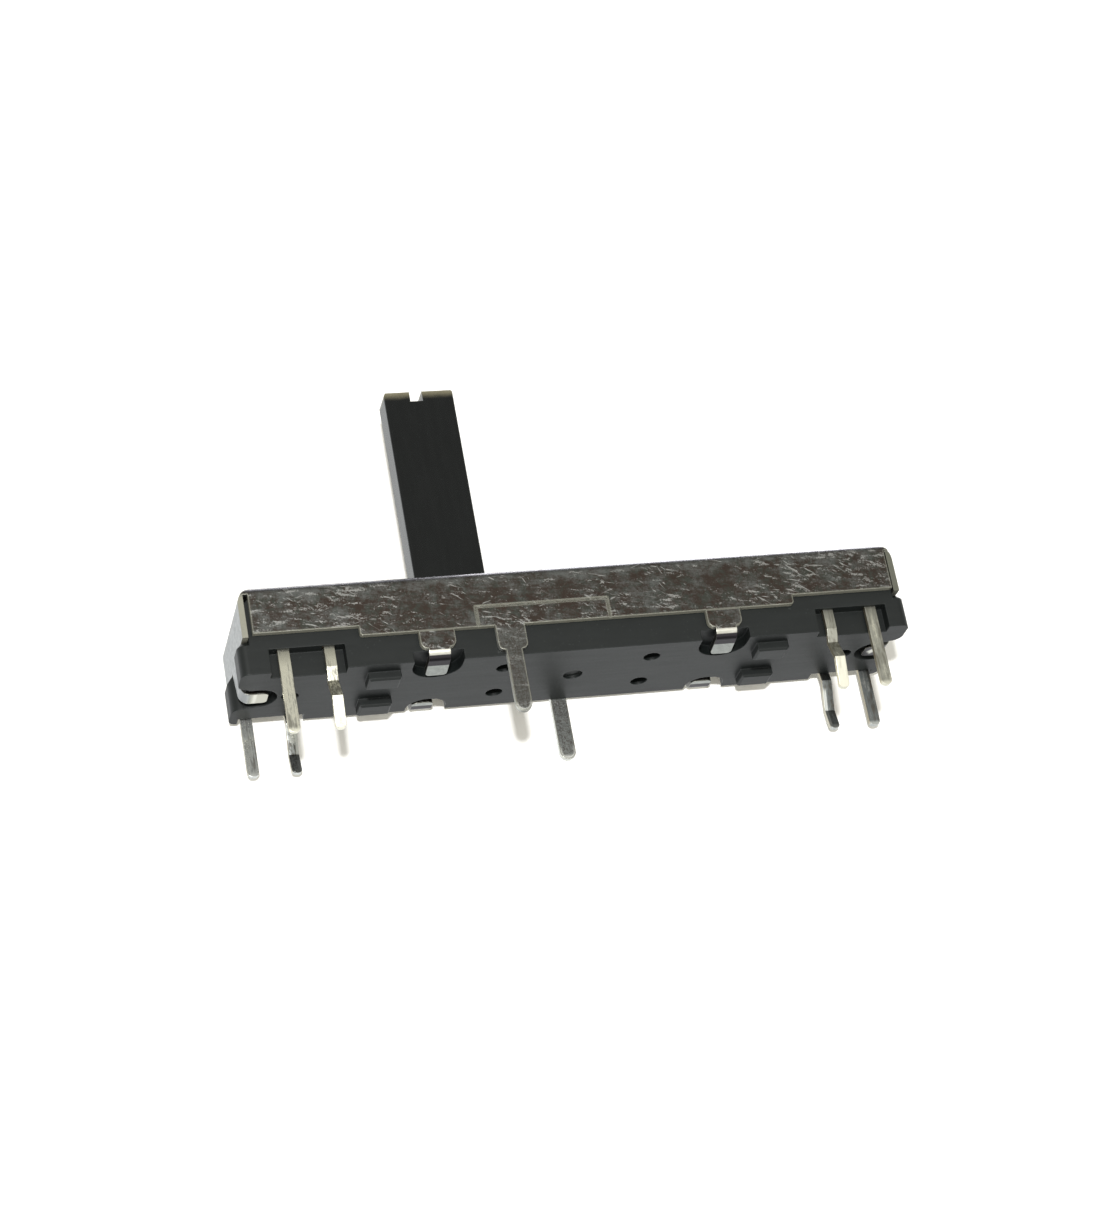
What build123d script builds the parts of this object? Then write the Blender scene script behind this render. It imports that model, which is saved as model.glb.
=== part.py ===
from build123d import *
import os

# Slide potentiometer with two gangs, lever up and terminals down.
# The origin is the middle of the plane that rests on the circuit board,
# X runs along the travel, Y across the body and Z up. Lengths are in millimetres.

# Driving dimensions: overall
travel = 30.0
end_allowance = 15.5
cover_width = 9.0
cover_top = 6.7
sheet = 0.4
fold_radius = 0.15
end_fold_radius = 0.8
hook_fold_radius = 0.3
foot_height = 0.6
lever_rest_share = 0.25

# Driving dimensions: steel cover
wall_end_gap = 0.32
wall_right_gap = 0.12
wall_end_z = 3.3
wall_middle_z = 2.63
wall_step_inset = 7.75
wall_step_radius = 0.2
plate_corner_r = 0.25
flap_side_trim = 0.1
flap_bottom_z = 3.1
flap_neck_width = 2.8
flap_lug_width = 1.4
flap_lug_reach = 1.45
clinch_inset = 12.85
clinch_shoulder_width = 2.4
clinch_shoulder_z = 1.35
clinch_lug_width = 1.45
clinch_front_reach = 2.0
clinch_front_drop = 0.2
clinch_rear_reach = 1.2
lug_tip_radius = 0.3
ground_front_x = -4.9
ground_rear_x = -0.15
ground_root_width = 2.0
ground_root_z = 0.85
ground_width = 1.1
ground_root_r = 0.42
ground_front_tip_z = -3.6
ground_rear_tip_z = -3.85
slot_side_gap = 0.4
slot_end_gap = 0.3
screw_inset = 2.55
screw_minor_r = 0.8
screw_collar_wall = 0.35
screw_collar_depth = 0.5
coin_left = -7.1
coin_right = 2.1
coin_top_z = 4.15
coin_line = 0.14
coin_depth = 0.08

# Driving dimensions: moulded base
fit_gap = 0.05
floor_top_z = 1.9
ear_length = 0.35
ear_top_z = 3.0
ear_corner_radius = 0.6
ear_slot_radius = 0.75
ear_top_chamfer = 0.3
end_wall = 1.12
ledge_z = 2.5
base_top_gap = 0.05
base_end_ease = 0.55
pocket_depth = 0.72
clinch_front_pocket_r = 1.7
clinch_front_pocket_reach = 2.65
clinch_rear_pocket_r = 1.4
clinch_rear_pocket_reach = 1.8
clinch_rear_shift = 0.3
flap_pocket_width = 2.8
flap_pocket_reach = 2.1
foot_inset = 9.3
foot_side_inset = 2.35
foot_length = 2.2
foot_width = 1.6
foot_edge = 0.12
core_hole_r = 0.59
core_hole_x = 5.12
core_hole_side_inset = 2.5
end_hole_inset = 3.35
core_hole_depth = 0.9
gate_r = 0.68
gate_depth = 0.2
recess_depth = 0.85
recess_margin = 1.0
recess_top_z = 2.3

# Driving dimensions: element boards
board_thick = 0.8
board_gap = 0.025
board_top_gap = 0.2
board_end_gap = 0.1
track_raise = 0.03
track_wide = 1.3
track_narrow = 0.8
track_low_rise = 1.05
track_high_drop = 0.9
track_end_gap = 1.0

# Driving dimensions: terminals, front row then rear row
row_inset = 0.9
terminal_thick = 0.35
front_row_shift = 0.25
front_outer_inset = 2.4
front_inner_inset = 5.45
rear_outer_inset = 0.8
rear_inner_inset = 3.75
outer_pin_width = 0.78
inner_pin_width = 0.7
pin_tip_z = -3.5
head_outer_inset = 2.55
head_inner_inset = 4.95
head_width = 1.6
head_drop = 0.6
jog_rise = 0.4
jog_height = 0.5
kink_start_z = 0.9
kink_top_z = 0.0
kink_front_low_z = -1.3
kink_rear_low_z = -2.0
kink_out = 0.4
kink_in = 0.3
rivet_drop = 1.1
rivet_r = 0.35
rivet_head_r = 0.6
rivet_head_thick = 0.12

# Driving dimensions: lever, its carriage and springs
lever_width = 4.92
lever_thick = 2.2
lever_top_z = 22.4
lever_edge = 0.18
lever_corner = 0.3
lever_top_edge = 0.12
notch_width = 0.9
notch_depth = 0.8
notch_offset = -0.2
carriage_overhang = 1.44
carriage_side_gap = 0.4
carriage_bottom_gap = 0.15
carriage_top_gap = 0.4
keel_gap = 0.08
keel_height = 0.35
wiper_thick = 0.12
wiper_touch_gap = 0.04
wiper_end_gap = 0.6
wiper_finger_width = 0.9
guide_spring_thick = 0.12
guide_spring_gap = 0.2
guide_spring_inset = 0.1
guide_spring_end_inset = 0.3

# Places worked out from the driving dimensions
cover_length = travel + end_allowance
lever_rest = -travel * lever_rest_share
half_width = cover_width / 2
half_length = cover_length / 2
flap_width = cover_width - 2 * flap_side_trim
inner_half_width = half_width - sheet
inner_top = cover_top - sheet
flap_inner_x = half_length - sheet
wall_left_x = wall_end_gap - flap_inner_x
wall_right_x = flap_inner_x - wall_right_gap
bend_r = fold_radius + sheet
end_bend_r = end_fold_radius + sheet
hook_bend_r = hook_fold_radius + sheet
base_bottom = foot_height
base_half_width = inner_half_width - fit_gap
base_end_x = flap_inner_x - fit_gap
ear_end_x = half_length + ear_length
base_top = inner_top - base_top_gap
wall_step_x = half_length - wall_step_inset
clinch_x = half_length - clinch_inset
screw_x = half_length - screw_inset
channel_half_length = base_end_x - end_wall
foot_x = half_length - foot_inset
foot_y = half_width - foot_side_inset
core_hole_y = half_width - core_hole_side_inset
end_hole_x = half_length - end_hole_inset
row_y = half_width - row_inset
terminal_outer_y = row_y + terminal_thick / 2
terminal_inner_y = row_y - terminal_thick / 2
board_outer_y = terminal_inner_y - board_gap
board_inner_y = board_outer_y - board_thick
board_top_z = inner_top - board_top_gap
board_half_length = channel_half_length - board_end_gap
track_low_z = ledge_z + track_low_rise
track_high_z = board_top_z - track_high_drop
front_outer_x = half_length - front_outer_inset
front_inner_x = half_length - front_inner_inset
rear_outer_x = half_length - rear_outer_inset
rear_inner_x = half_length - rear_inner_inset
head_outer_x = half_length - head_outer_inset
head_inner_x = half_length - head_inner_inset
head_top_z = board_top_z - head_drop
rivet_z = head_top_z - rivet_drop
track_half_length = head_inner_x - rivet_head_r - track_end_gap
carriage_half_width = board_inner_y - carriage_side_gap
carriage_length = lever_width + 2 * carriage_overhang
slot_half_length = travel / 2 + lever_width / 2 + slot_end_gap
slot_half_width = lever_thick / 2 + slot_side_gap
carriage_bottom = floor_top_z + carriage_bottom_gap
carriage_top = inner_top - carriage_top_gap
lug_top = base_bottom + sheet
jog_low_z = recess_top_z + jog_rise
jog_top_z = jog_low_z + jog_height


def block(x0, x1, y0, y1, z0, z1):
    """Box between two corners."""
    size = (x1 - x0, y1 - y0, z1 - z0)
    return Pos((x0 + x1) / 2, (y0 + y1) / 2, (z0 + z1) / 2) * Box(*size)


def flat_shape(sketch, y0, y1):
    """Upright slab: a sketch drawn in X and Z, spread from y0 to y1."""
    plane = Plane((0, y1, 0), x_dir=(1, 0, 0), z_dir=(0, -1, 0))
    return extrude(plane * sketch, y1 - y0)


def end_shape(sketch, x0, x1):
    """Upright slab: a sketch drawn in Y and Z, spread from x0 to x1."""
    plane = Plane((x0, 0, 0), x_dir=(0, 1, 0), z_dir=(1, 0, 0))
    return extrude(plane * sketch, x1 - x0)


def patch(x0, x1, z0, z1):
    """Rectangle in a drawing plane, by its corners."""
    return Pos((x0 + x1) / 2, (z0 + z1) / 2) * Rectangle(x1 - x0, z1 - z0)


def hook_profile(reach, drop):
    """Side view of a lug: down the wall, round the fold and in under the base."""
    outer_y = -half_width
    turn_z = base_bottom + hook_bend_r
    turn_y = outer_y + hook_bend_r
    tip_y = outer_y + sheet + reach
    top_z = clinch_shoulder_z + sheet
    diagonal = 0.5 ** 0.5
    with BuildSketch() as sketch:
        with BuildLine():
            Line((outer_y, top_z), (outer_y, turn_z))
            ThreePointArc(
                (outer_y, turn_z),
                (turn_y - hook_bend_r * diagonal, turn_z - hook_bend_r * diagonal),
                (turn_y, base_bottom),
            )
            Line((turn_y, base_bottom), (tip_y, base_bottom - drop))
            Line((tip_y, base_bottom - drop), (tip_y, lug_top - drop))
            Line((tip_y, lug_top - drop), (turn_y, lug_top))
            ThreePointArc(
                (turn_y, lug_top),
                (turn_y - hook_fold_radius * diagonal, turn_z - hook_fold_radius * diagonal),
                (outer_y + sheet, turn_z),
            )
            Line((outer_y + sheet, turn_z), (outer_y + sheet, top_z))
            Line((outer_y + sheet, top_z), (outer_y, top_z))
        make_face()
    return sketch.sketch


def hook(reach, width, drop):
    """Folded lug on the front wall, centred on X, with a rounded tip."""
    lug = end_shape(hook_profile(reach, drop), -width / 2, width / 2)
    tip_y = -half_width + sheet + reach
    plan = Rectangle(width, 4 * reach)
    plan = fillet(plan.vertices().group_by(Axis.Y)[-1], lug_tip_radius)
    return lug & extrude(Pos(0, tip_y - 2 * reach, 0) * plan, 2 * clinch_shoulder_z)


def shoulder_outline(centre, wide, narrow, z_low, z_high):
    """Tab that narrows in a curve from its root to its lug."""
    tab = patch(centre - wide / 2, centre + wide / 2, z_low, z_high)
    corners = tab.vertices().group_by(Axis.Y)[0]
    return fillet(corners, (wide - narrow) / 2)


def ground_outline(centre, ground_tip_z):
    """Solder lug: broad root, square shoulders and a long rounded blade."""
    root = patch(
        centre - ground_root_width / 2,
        centre + ground_root_width / 2,
        ground_root_z,
        wall_middle_z,
    )
    root = fillet(root.vertices().group_by(Axis.Y)[0], ground_root_r)
    tip_centre_z = ground_tip_z + ground_width / 2
    blade = patch(
        centre - ground_width / 2,
        centre + ground_width / 2,
        tip_centre_z,
        wall_middle_z,
    )
    tip = Pos(centre, tip_centre_z) * Circle(ground_width / 2)
    return root + blade + tip


def wall_outline(ground_x, ground_tip_z):
    """Front view of one long wall, with its steps, clinch tabs and solder lug."""
    upper = patch(wall_left_x, wall_right_x, wall_end_z, cover_top)
    middle = patch(-wall_step_x, wall_step_x, wall_middle_z, cover_top)
    outline = upper + middle
    outline = fillet(
        outline.vertices().filter_by(
            lambda v: abs(abs(v.X) - wall_step_x) < 0.01 and v.Y < wall_end_z - 0.1
        ),
        wall_step_radius,
    )
    for side in (-1, 1):
        outline += shoulder_outline(
            side * clinch_x,
            clinch_shoulder_width,
            clinch_lug_width,
            clinch_shoulder_z,
            wall_middle_z + sheet,
        )
    return outline + ground_outline(ground_x, ground_tip_z)


def flap_outline():
    """End view of one flap: broad above the ears, tapering to its lug."""
    neck = flap_neck_width / 2
    lug = flap_lug_width / 2
    wide = flap_width / 2
    turn_z = base_bottom + hook_bend_r
    return make_face(
        Polyline(
            (-wide, cover_top),
            (-wide, flap_bottom_z),
            (-neck, flap_bottom_z),
            (-lug, turn_z),
            (lug, turn_z),
            (neck, flap_bottom_z),
            (wide, flap_bottom_z),
            (wide, cover_top),
            close=True,
        )
    )


def tray(end_x, side_y, top_z, end_r, side_r):
    """Block whose top is rounded over its ends and, less, over its long sides."""
    low_z = min(ground_front_tip_z, ground_rear_tip_z)
    front = patch(-end_x, end_x, low_z, top_z)
    front = fillet(front.vertices().group_by(Axis.Y)[-1], end_r)
    end = patch(-side_y, side_y, low_z, top_z)
    end = fillet(end.vertices().group_by(Axis.Y)[-1], side_r)
    return flat_shape(front, -side_y, side_y) & end_shape(end, -end_x, end_x)


def folded_shell():
    """Tray with rounded folds, before its walls and flaps are trimmed."""
    outer = tray(half_length, half_width, cover_top, end_bend_r, bend_r)
    inner = tray(
        flap_inner_x, inner_half_width, inner_top, end_fold_radius, fold_radius
    )
    return outer - inner


def screw_holes(radius, z0, z1):
    """Pair of round posts on the mounting hole centres."""
    posts = Part()
    for side in (-1, 1):
        post = Cylinder(radius, z1 - z0)
        posts += Pos(side * screw_x, 0, (z0 + z1) / 2) * post
    return posts


def coined_line():
    """Shallow line scored round a panel in the middle of the front wall."""
    panel = patch(coin_left, coin_right, wall_middle_z - 1, coin_top_z)
    inside = patch(
        coin_left + coin_line,
        coin_right - coin_line,
        wall_middle_z - 2,
        coin_top_z - coin_line,
    )
    line = panel - inside
    return flat_shape(line, -half_width - 1, -half_width + coin_depth)


def make_cover():
    """Folded steel cover with its lever slot, tapped holes, tabs and solder lugs."""
    shell = folded_shell()
    front_wall = wall_outline(ground_front_x, ground_front_tip_z)
    rear_wall = wall_outline(ground_rear_x, ground_rear_tip_z)
    walls = flat_shape(front_wall, -half_width, -inner_half_width)
    walls += flat_shape(rear_wall, inner_half_width, half_width)
    walls += end_shape(flap_outline(), -half_length, -flap_inner_x)
    walls += end_shape(flap_outline(), flap_inner_x, half_length)
    below_fold = block(
        -half_length, half_length, -half_width, half_width,
        ground_rear_tip_z - 1, cover_top - bend_r,
    )
    plate = RectangleRounded(cover_length, cover_width, plate_corner_r)
    plate = extrude(Pos(0, 0, cover_top - bend_r) * plate, bend_r)
    cover = shell & ((walls & below_fold) + plate)
    front_lug = hook(clinch_front_reach, clinch_lug_width, clinch_front_drop)
    rear_lug = hook(clinch_rear_reach, clinch_lug_width, 0).mirror(Plane.XZ)
    for side in (-1, 1):
        cover += Pos(side * clinch_x, 0, 0) * front_lug
        cover += Pos(side * clinch_x, 0, 0) * rear_lug
        end_lug = Rot(0, 0, 90) * hook(flap_lug_reach, flap_lug_width, 0)
        end_lug = Pos(half_length - half_width, 0, 0) * end_lug
        cover += end_lug if side > 0 else end_lug.mirror(Plane.YZ)
    slot = extrude(
        Pos(0, 0, inner_top - 1)
        * RectangleRounded(2 * slot_half_length, 2 * slot_half_width, 0.4),
        sheet + 2,
    )
    cover -= slot
    collar = screw_holes(
        screw_minor_r + screw_collar_wall, inner_top - screw_collar_depth, inner_top
    )
    cover += collar
    cover -= screw_holes(screw_minor_r, inner_top - 2, cover_top + 1)
    return cover - coined_line()


def ear_block():
    """Lower part of the base, out to the ears beyond the cover's flaps."""
    plan = Rectangle(2 * ear_end_x, 2 * base_half_width)
    plan = fillet(plan.vertices(), ear_corner_radius)
    ears = extrude(Pos(0, 0, base_bottom) * plan, ear_top_z - base_bottom)
    top_edges = ears.faces().sort_by(Axis.Z)[-1].edges()
    ends = top_edges.filter_by(lambda e: abs(e.center().X) > base_end_x)
    return chamfer(ends, ear_top_chamfer)


def feet():
    """Four standing pads with eased edges."""
    pads = Part()
    for sx in (-1, 1):
        for sy in (-1, 1):
            pad = Box(foot_length, foot_width, foot_height + 0.2)
            pad = chamfer(pad.faces().sort_by(Axis.Z)[0].edges(), foot_edge)
            pads += Pos(sx * foot_x, sy * foot_y, (foot_height + 0.2) / 2) * pad
    return pads


def clinch_pocket(radius, reach):
    """Half-round pocket in the underside for one folded lug of the front wall."""
    centre_y = -base_half_width + reach - radius
    well = Cylinder(radius, pocket_depth + 1)
    well += block(
        -radius, radius, -2, 0,
        -(pocket_depth + 1) / 2, (pocket_depth + 1) / 2,
    )
    return Pos(0, centre_y, base_bottom + pocket_depth - (pocket_depth + 1) / 2) * well


def flap_pocket():
    """Slot in the right end for the flap's neck, with a pocket for its lug."""
    half = flap_pocket_width / 2
    neck = flap_neck_width / 2 + 0.15
    radius = ear_slot_radius
    slot = block(base_end_x, ear_end_x + 1, -neck, neck, base_bottom - 1, ear_top_z + 1)
    for side in (-1, 1):
        ys = sorted((side * neck, side * (neck + radius)))
        mouth = block(
            ear_end_x - radius, ear_end_x + 1, ys[0], ys[1],
            base_bottom - 1, ear_top_z + 1,
        )
        post = Cylinder(radius, 2 * ear_top_z + 2)
        slot += mouth - Pos(ear_end_x - radius, side * (neck + radius), base_bottom) * post
    tip_x = half_length - sheet - flap_pocket_reach
    pocket = block(
        tip_x + half, ear_end_x + 1, -half, half, base_bottom - 1,
        base_bottom + pocket_depth,
    )
    round_end = Pos(tip_x + half, 0, base_bottom + pocket_depth - 1) * Cylinder(half, 2)
    return slot + pocket + round_end


def pin_recess(inner_x, outer_x, side):
    """Recess in a long side in front of one pair of terminals."""
    deep = base_half_width - recess_depth
    x0 = min(abs(inner_x), abs(outer_x)) - recess_margin
    x1 = min(max(abs(inner_x), abs(outer_x)) + recess_margin, ear_end_x - 0.6)
    sign = 1 if inner_x > 0 else -1
    xs = sorted((sign * x0, sign * x1))
    ys = sorted((side * deep, side * (base_half_width + 1)))
    return block(xs[0], xs[1], ys[0], ys[1], base_bottom - 1, recess_top_z)


def terminal_places():
    """Name, side, pin place, head place, pin width and kink of each terminal."""
    places = []
    for row, side in (("front", -1), ("rear", 1)):
        shift = front_row_shift if side < 0 else 0.0
        outer = front_outer_x if side < 0 else rear_outer_x
        inner = front_inner_x if side < 0 else rear_inner_x
        plan = (
            (1, -outer + shift, -head_outer_x, False),
            (2, -inner + shift, -head_inner_x, True),
            (3, inner + shift, head_inner_x, True),
            (4, outer + shift, head_outer_x, False),
        )
        for number, pin_x, head_x, kinked in plan:
            name = f"{row}_terminal_{number}"
            places.append((name, side, pin_x, head_x, kinked))
    return places


def terminal_pocket(side, pin_x, head_x):
    """Pocket inside the base's long wall that holds one terminal."""
    pin_half = outer_pin_width / 2 + fit_gap
    head_half = head_width / 2 + fit_gap
    ys = sorted((side * (board_outer_y - 0.1), side * (terminal_outer_y + fit_gap / 2)))
    x0 = min(pin_x - pin_half, head_x - head_half)
    x1 = max(pin_x + pin_half, head_x + head_half)
    low = jog_low_z - fit_gap
    pocket = block(x0, x1, ys[0], ys[1], low, jog_top_z + fit_gap)
    pocket += block(
        pin_x - pin_half, pin_x + pin_half, ys[0], ys[1], recess_top_z - 0.1, low
    )
    return pocket + block(
        head_x - head_half, head_x + head_half, ys[0], ys[1], low, base_top + 1
    )


def gate_recess():
    """Shallow round dimple where the mould was filled."""
    return Pos(0, 0, base_bottom) * Cylinder(gate_r, 2 * gate_depth)


def make_base():
    """Black moulded base: trough, ledges, ears, feet and underside pockets."""
    base = block(
        -base_end_x, base_end_x, -base_half_width, base_half_width,
        base_bottom, base_top,
    )
    top_edges = base.faces().sort_by(Axis.Z)[-1].edges()
    ends = top_edges.filter_by(lambda e: abs(e.center().X) > base_end_x - 0.01)
    base = chamfer(ends, base_end_ease)
    base += ear_block()
    base -= block(
        -channel_half_length, channel_half_length, -board_inner_y, board_inner_y,
        floor_top_z, base_top + 1,
    )
    board_room = board_outer_y + fit_gap / 2
    base -= block(
        -channel_half_length, channel_half_length, -board_room, board_room,
        ledge_z, base_top + 1,
    )
    base -= screw_holes(
        screw_minor_r + screw_collar_wall + 0.1, inner_top - screw_collar_depth - 0.3,
        cover_top,
    )
    base += feet()
    front_pocket = clinch_pocket(clinch_front_pocket_r, clinch_front_pocket_reach)
    rear_pocket = clinch_pocket(clinch_rear_pocket_r, clinch_rear_pocket_reach)
    rear_pocket = rear_pocket.mirror(Plane.XZ)
    for side in (-1, 1):
        base -= Pos(side * clinch_x, 0, 0) * front_pocket
        base -= Pos(side * clinch_x + clinch_rear_shift, 0, 0) * rear_pocket
        end = flap_pocket()
        base -= end if side > 0 else end.mirror(Plane.YZ)
        for sy in (-1, 1):
            hole = Cylinder(core_hole_r, 2 * core_hole_depth)
            base -= Pos(side * core_hole_x, sy * core_hole_y, base_bottom) * hole
        base -= Pos(side * end_hole_x, 0, base_bottom) * Cylinder(
            core_hole_r, 2 * core_hole_depth
        )
    base -= gate_recess()
    pins = {}
    for name, side, pin_x, head_x, kinked in terminal_places():
        base -= terminal_pocket(side, pin_x, head_x)
        pins.setdefault((side, pin_x > 0), []).append(pin_x)
    for (side, _), pair in pins.items():
        base -= pin_recess(pair[0], pair[1], side)
    return base


def leg_profile(side, kinked):
    """Side view of one terminal's leg, straight or with a snap-in kink."""
    t = terminal_thick / 2
    kink_low_z = kink_front_low_z if side < 0 else kink_rear_low_z
    if kinked:
        path = (
            (0.0, jog_top_z),
            (0.0, kink_start_z),
            (kink_in, kink_top_z),
            (-kink_out, kink_low_z),
            (0.0, pin_tip_z),
        )
    else:
        path = ((0.0, jog_top_z), (0.0, pin_tip_z))
    near = [(row_y - y - t, z) for y, z in path]
    far = [(row_y - y + t, z) for y, z in reversed(path)]
    points = [(side * y, z) for y, z in near + far]
    return make_face(Polyline(*points, close=True))


def make_terminal(side, pin_x, head_x, kinked):
    """Stamped terminal: head riveted to the board, jog, and leg with a round tip."""
    width = inner_pin_width if kinked else outer_pin_width
    half = width / 2
    leg = end_shape(leg_profile(side, kinked), pin_x - half, pin_x + half)
    tip = patch(pin_x - half, pin_x + half, pin_tip_z, jog_top_z)
    tip = fillet(tip.vertices().group_by(Axis.Y)[0], half * 0.85)
    leg = leg & flat_shape(tip, -half_width, half_width)
    head = patch(head_x - head_width / 2, head_x + head_width / 2, jog_low_z, head_top_z)
    head = fillet(head.vertices().group_by(Axis.Y)[-1], 0.4)
    x0 = min(pin_x - half, head_x)
    x1 = max(pin_x + half, head_x)
    head += patch(x0, x1, jog_low_z, jog_top_z)
    head -= Pos(head_x, rivet_z) * Circle(rivet_r)
    ys = sorted((side * terminal_inner_y, side * terminal_outer_y))
    return leg + flat_shape(head, ys[0], ys[1])


def make_rivet(side, head_x):
    """Rivet that fastens one terminal to its board."""
    ys = sorted((side * board_inner_y, side * terminal_outer_y))
    shank = flat_shape(Pos(head_x, rivet_z) * Circle(rivet_r), ys[0], ys[1])
    inner = sorted((side * (board_inner_y - rivet_head_thick), side * board_inner_y))
    head = flat_shape(Pos(head_x, rivet_z) * Circle(rivet_head_r), inner[0], inner[1])
    return shank + head


def make_board(side):
    """Phenolic board on edge, with its resistance and pick-up tracks inward."""
    outline = patch(-board_half_length, board_half_length, ledge_z, board_top_z)
    for head_x in (-head_outer_x, -head_inner_x, head_inner_x, head_outer_x):
        outline -= Pos(head_x, rivet_z) * Circle(rivet_r)
    ys = sorted((side * board_inner_y, side * board_outer_y))
    board = flat_shape(outline, ys[0], ys[1])
    tracks = patch(
        -track_half_length, track_half_length,
        track_low_z - track_narrow / 2, track_low_z + track_narrow / 2,
    )
    tracks += patch(
        -track_half_length, track_half_length,
        track_high_z - track_wide / 2, track_high_z + track_wide / 2,
    )
    raised = sorted((side * (board_inner_y - track_raise), side * board_inner_y))
    return board + flat_shape(tracks, raised[0], raised[1])


def make_lever():
    """Black lever and carriage, moulded as one piece."""
    half_x = carriage_length / 2
    half_y = carriage_half_width
    body = block(-half_x, half_x, -half_y, half_y, carriage_bottom, carriage_top)
    body = fillet(body.edges().filter_by(Axis.Z), 0.4)
    keel_half = board_inner_y - keel_gap
    keel = block(
        -half_x, half_x, -keel_half, keel_half,
        carriage_bottom, carriage_bottom + keel_height,
    )
    keel = fillet(keel.edges().filter_by(Axis.Z), 0.3)
    blade = RectangleRounded(lever_width, lever_thick, lever_edge)
    blade = extrude(Pos(0, 0, carriage_top - 0.1) * blade, lever_top_z - carriage_top + 0.1)
    view = patch(-lever_width / 2, lever_width / 2, carriage_top - 0.1, lever_top_z)
    view = fillet(view.vertices().group_by(Axis.Y)[-1], lever_corner)
    notch_x = notch_offset
    view -= patch(
        notch_x - notch_width / 2, notch_x + notch_width / 2,
        lever_top_z - notch_depth, lever_top_z + 1,
    )
    blade = blade & flat_shape(view, -lever_thick, lever_thick)
    section = patch(-lever_thick / 2, lever_thick / 2, carriage_top - 0.1, lever_top_z)
    section = fillet(section.vertices().group_by(Axis.Y)[-1], lever_top_edge)
    blade = blade & end_shape(section, -lever_width, lever_width)
    return Pos(lever_rest, 0, 0) * (body + keel + blade)


def make_wiper(side):
    """Bronze wiper on one side of the carriage, a bowed finger for each track."""
    base_y = carriage_half_width
    reach = board_inner_y - track_raise - wiper_touch_gap - base_y
    half = carriage_length / 2 - wiper_end_gap
    plate = (0.0, wiper_thick)
    profile = make_face(
        Polyline(
            (-half, 0.0),
            (-half * 0.45, 0.0),
            (half * 0.35, reach - wiper_thick),
            (half, reach * 0.3),
            (half, reach * 0.3 + wiper_thick),
            (half * 0.35, reach),
            (-half * 0.45, wiper_thick),
            (-half, wiper_thick),
            close=True,
        )
    )
    wiper = Part()
    for track_z in (track_low_z, track_high_z):
        finger = extrude(
            Pos(0, 0, track_z - wiper_finger_width / 2) * profile, wiper_finger_width
        )
        wiper += finger
    wiper += block(
        -half, -half * 0.5, plate[0], plate[1],
        track_low_z - wiper_finger_width / 2, track_high_z + wiper_finger_width / 2,
    )
    wiper = Pos(lever_rest, base_y, 0) * wiper
    return wiper if side > 0 else wiper.mirror(Plane.XZ)


def make_guide_spring():
    """Leaf spring frame on the carriage that bears on the cover's underside."""
    half_x = carriage_length / 2 - guide_spring_end_inset
    half_y = carriage_half_width - guide_spring_inset
    inner_x = lever_width / 2 + guide_spring_gap
    inner_y = lever_thick / 2 + guide_spring_gap
    rise = carriage_top_gap - guide_spring_thick - 0.08
    bow = make_face(
        Polyline(
            (-half_x, 0.0),
            (-half_x * 0.4, rise),
            (half_x * 0.4, rise),
            (half_x, 0.0),
            (half_x, guide_spring_thick),
            (half_x * 0.4, rise + guide_spring_thick),
            (-half_x * 0.4, rise + guide_spring_thick),
            (-half_x, guide_spring_thick),
            close=True,
        )
    )
    spring = Part()
    for side in (-1, 1):
        ys = sorted((side * inner_y, side * half_y))
        spring += flat_shape(bow, ys[0], ys[1])
        xs = sorted((side * inner_x, side * half_x))
        spring += block(xs[0], xs[1], -half_y, half_y, 0.0, guide_spring_thick)
    return Pos(lever_rest, 0, carriage_top) * spring


def parts():
    """Every piece by its node name."""
    pieces = {
        "cover": make_cover(),
        "base": make_base(),
        "element_board_front": make_board(-1),
        "element_board_rear": make_board(1),
        "lever": make_lever(),
        "wiper_front": make_wiper(-1),
        "wiper_rear": make_wiper(1),
        "guide_spring": make_guide_spring(),
    }
    for name, side, pin_x, head_x, kinked in terminal_places():
        pieces[name] = make_terminal(side, pin_x, head_x, kinked)
        pieces[name.replace("terminal", "rivet")] = make_rivet(side, head_x)
    return pieces


os.makedirs("parts", exist_ok=True)
for node, shape in parts().items():
    export_step(shape, f"parts/{node}.step")
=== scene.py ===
"""Looks of the slide potentiometer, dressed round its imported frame."""

import logging
import math
from dataclasses import dataclass
from enum import Enum
from typing import Optional, Union

import bpy
from mathutils import Matrix, Vector


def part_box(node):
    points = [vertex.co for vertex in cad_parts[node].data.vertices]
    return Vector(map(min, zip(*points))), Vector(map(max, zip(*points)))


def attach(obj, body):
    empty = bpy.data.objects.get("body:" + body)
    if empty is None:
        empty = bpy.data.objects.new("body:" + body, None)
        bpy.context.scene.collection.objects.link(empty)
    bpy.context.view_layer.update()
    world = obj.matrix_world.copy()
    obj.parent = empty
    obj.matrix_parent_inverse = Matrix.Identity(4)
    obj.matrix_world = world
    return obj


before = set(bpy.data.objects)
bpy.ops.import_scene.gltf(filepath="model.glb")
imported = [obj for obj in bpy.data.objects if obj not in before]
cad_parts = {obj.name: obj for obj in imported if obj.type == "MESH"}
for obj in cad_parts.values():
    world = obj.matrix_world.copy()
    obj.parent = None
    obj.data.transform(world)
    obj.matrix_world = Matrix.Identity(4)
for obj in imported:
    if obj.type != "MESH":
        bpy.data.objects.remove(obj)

LOG = logging.getLogger("slide_potentiometer")
MM = 0.001
EASE_SAMPLES = 6

Triple = tuple[float, float, float]
Colour = Triple
Range = tuple[float, float]
Value = Union["Wire", float, int, Triple]
UNTURNED: Triple = (0.0, 0.0, 0.0)


# ---------------------------------------------------------------- node trees


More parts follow.
